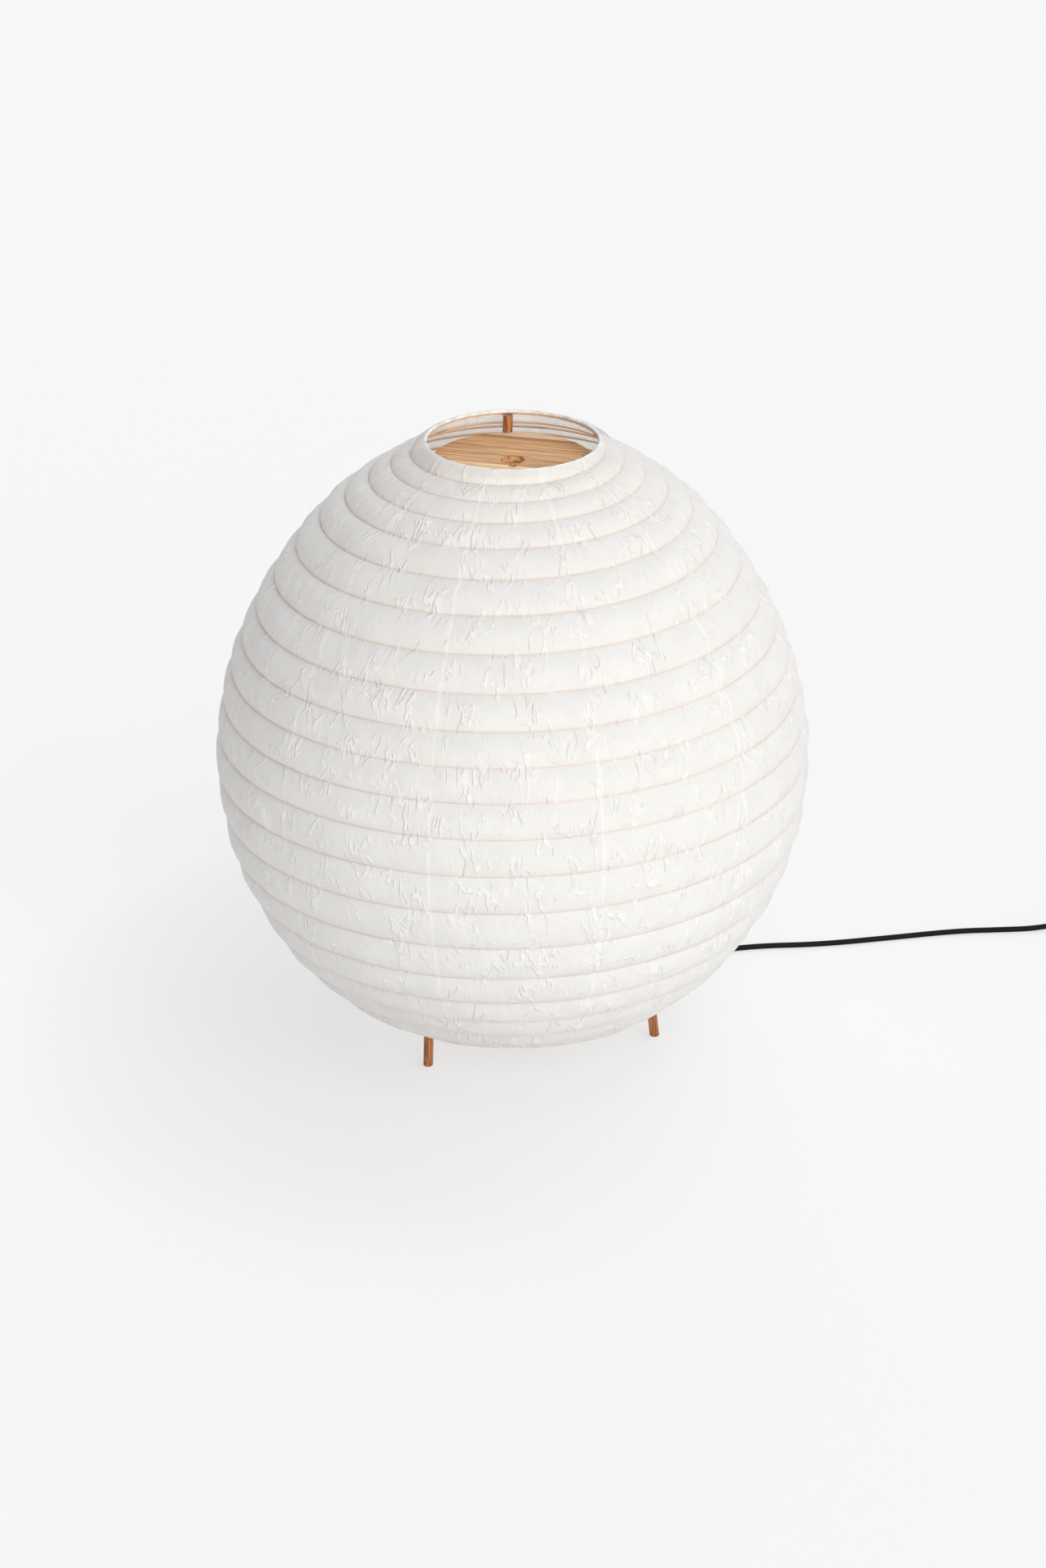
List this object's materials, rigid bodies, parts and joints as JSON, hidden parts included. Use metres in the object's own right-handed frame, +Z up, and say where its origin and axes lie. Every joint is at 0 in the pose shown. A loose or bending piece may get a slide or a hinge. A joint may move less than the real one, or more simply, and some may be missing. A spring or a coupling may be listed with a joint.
{
  "type": "paper lantern floor lamp",
  "caption": "Egg-shaped ribbed paper lantern that stands on slanted wooden dowels, with a round wooden top disc, a lamp inside and a flex with a rocker switch and plug.",
  "frame": {"origin": "on the floor, on the lantern's vertical axis", "axes": "+Z up, -Y towards the front of the picture, +X to the right, where the flex leaves"},
  "size_m": [1.1439, 0.605, 0.654],
  "materials": {
    "paper": "matt white handmade paper",
    "bamboo": "split bamboo, bare",
    "hook_wire": "bright wire",
    "dowel_wood": "orange-brown hardwood dowel, clear satin",
    "disc_wood": "edge-glued softwood, bare",
    "zinc_steel": "zinc plated",
    "black_plastic": "black moulded plastic",
    "holder_plastic": "black phenolic",
    "white_ceramic": "white ceramic",
    "brass": "bright",
    "contact_metal": "nickel plated",
    "black_glass": "black vitrite",
    "lamp_cap": "bright",
    "opal_glass": "opal white",
    "flex_sheath": "black sheath",
    "strap_fabric": "black woven strap"
  },
  "bodies": {
    "frame": {"leg_back": "dowel_wood", "leg_left": "dowel_wood", "leg_right": "dowel_wood", "upper_disc": "disc_wood", "lower_disc": "disc_wood", "nipple": "zinc_steel", "nipple_nut": "zinc_steel", "flex_grip": "black_plastic", "holder_dome": "holder_plastic", "holder_skirt": "holder_plastic", "contact_block": "white_ceramic", "screw_shell": "brass", "centre_contact": "brass", "flex_to_switch": "flex_sheath", "switch_lower_shell": "black_plastic", "switch_upper_shell": "black_plastic", "flex_to_coil": "flex_sheath", "flex_coil": "flex_sheath", "coil_strap": "strap_fabric", "flex_to_plug": "flex_sheath", "plug_body": "black_plastic", "plug_pins": "contact_metal"},
    "shade": {"paper_gore_01": "paper", "paper_gore_02": "paper", "paper_gore_03": "paper", "paper_gore_04": "paper", "paper_gore_05": "paper", "paper_gore_06": "paper", "paper_gore_07": "paper", "paper_gore_08": "paper", "paper_gore_09": "paper", "paper_gore_10": "paper", "paper_gore_11": "paper", "bamboo_rib": "bamboo", "top_hoop": "bamboo", "bottom_hoop": "bamboo", "hoop_hooks": "hook_wire", "rim_tape": "paper"},
    "lamp": {"lamp_contact": "contact_metal", "lamp_insulator": "black_glass", "lamp_cap": "lamp_cap", "lamp_tube": "opal_glass"},
    "rocker": {"switch_rocker": "black_plastic"}
  },
  "joints": [
    {"name": "shade_lift", "type": "slide", "parent": "frame", "child": "shade", "axis": [0, 0, 1], "range_m": [0, 0.62]},
    {"name": "lamp_turn", "type": "hinge", "parent": "frame", "child": "lamp", "pos_m": [0.00769, 0.00419, 0.245], "axis": [0, 0, 1], "range_deg": [0, 1080]},
    {"name": "switch_rocker_tilt", "type": "hinge", "parent": "frame", "child": "rocker", "pos_m": [0.676, 0.231, 0.012], "axis": [-0.0872, 0.9962, 0], "range_deg": [-18, 0]}
  ]
}
